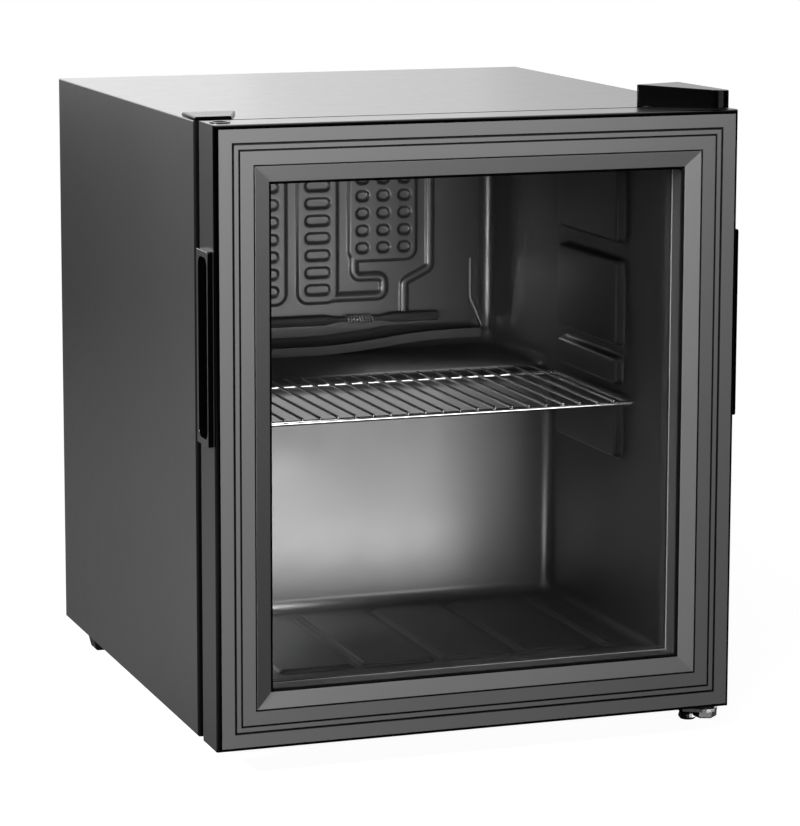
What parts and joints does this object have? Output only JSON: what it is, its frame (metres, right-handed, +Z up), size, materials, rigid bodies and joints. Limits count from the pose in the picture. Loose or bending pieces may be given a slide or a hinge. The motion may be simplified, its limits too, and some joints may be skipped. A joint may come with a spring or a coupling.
{
  "type": "glass door refrigerator",
  "caption": "Compact counter-height refrigerator with a hinged double-glazed glass door, wire shelf, plate evaporator and rear compressor space.",
  "frame": {"origin": "on the floor under the middle of the fridge: x and y at the middle of the bounding box, z under the feet", "axes": "+Z up, the door faces -Y, +X is to the right as seen from the front, where the hinges are"},
  "size_m": [0.439, 0.48, 0.5219],
  "materials": {
    "painted_shell": "satin dark grey paint",
    "door_face": "satin grey",
    "black_gloss": "polished black",
    "liner_plastic": "glossy black moulding",
    "black_rubber": "soft black",
    "matte_plastic": "matte black moulding",
    "clear_glass": "clear",
    "spacer_metal": "dull grey",
    "chrome_wire": "bright plating",
    "zinc_plate": "zinc plated",
    "evaporator_coat": "dark coated",
    "copper_tube": "bare copper",
    "black_steel": "black paint",
    "foam": "cream foam",
    "galvanised_sheet": "galvanised"
  },
  "bodies": {
    "cabinet": {"base_pan": "galvanised_sheet", "capillary_wrap": "zinc_plate", "compressor": "black_steel", "compressor_grommet_1": "black_rubber", "compressor_grommet_2": "black_rubber", "compressor_grommet_3": "black_rubber", "compressor_grommet_4": "black_rubber", "compressor_space_panel": "galvanised_sheet", "condenser_coil": "copper_tube", "drain_tube": "matte_plastic", "drip_gutter": "liner_plastic", "evaporation_tray": "matte_plastic", "evaporator_plate": "evaporator_coat", "evaporator_standoff_high_left": "matte_plastic", "evaporator_standoff_high_right": "matte_plastic", "evaporator_standoff_low_left": "matte_plastic", "evaporator_standoff_low_right": "matte_plastic", "filter_dryer": "copper_tube", "front_left_foot_insert": "matte_plastic", "front_right_foot_insert": "matte_plastic", "inner_liner": "liner_plastic", "insulation_foam": "foam", "lower_hinge_bracket": "zinc_plate", "lower_hinge_pin": "zinc_plate", "outer_shell": "painted_shell", "rear_left_foot": "black_rubber", "rear_panel": "painted_shell", "rear_right_foot": "black_rubber", "spare_hinge_cap": "black_gloss", "suction_line": "evaporator_coat", "terminal_box": "matte_plastic", "thermostat_housing": "matte_plastic", "thermostat_sensor_tube": "zinc_plate", "upper_hinge_bracket": "zinc_plate", "upper_hinge_cover": "black_gloss", "upper_hinge_pin": "zinc_plate"},
    "door": {"door_frame": "painted_shell", "door_face_frame": "door_face", "door_edge_strip": "black_gloss", "glazing_bead": "door_face", "glazing_seal": "black_rubber", "outer_glass": "clear_glass", "glass_spacer": "spacer_metal", "inner_glass": "clear_glass", "door_liner_frame": "matte_plastic", "door_gasket": "black_rubber", "left_grip": "black_gloss", "right_grip": "black_gloss", "upper_hinge_bush": "matte_plastic", "lower_hinge_bush": "matte_plastic", "upper_pivot_hole_plug": "black_gloss", "lower_pivot_hole_plug": "black_gloss"},
    "shelf": {"wire_shelf": "chrome_wire"},
    "left_screw_foot": {"front_left_foot": "black_rubber"},
    "right_screw_foot": {"front_right_foot": "black_rubber"},
    "knob": {"thermostat_knob": "matte_plastic"}
  },
  "joints": [
    {"name": "door_hinge", "type": "hinge", "parent": "cabinet", "child": "door", "pos_m": [0.204, -0.217, 0.2625], "axis": [0, 0, 1], "range_deg": [0, 120]},
    {"name": "shelf_slide", "type": "slide", "parent": "cabinet", "child": "shelf", "axis": [0, -1, 0], "range_m": [0, 0.055]},
    {"name": "left_foot_screw", "type": "slide", "parent": "cabinet", "child": "left_screw_foot", "axis": [0, 0, -1], "range_m": [0, 0.005]},
    {"name": "right_foot_screw", "type": "slide", "parent": "cabinet", "child": "right_screw_foot", "axis": [0, 0, -1], "range_m": [0, 0.005]},
    {"name": "thermostat_turn", "type": "hinge", "parent": "cabinet", "child": "knob", "pos_m": [0.105, 0.224, 0.2011], "axis": [0, 1, 0], "range_deg": [0, 270]}
  ]
}
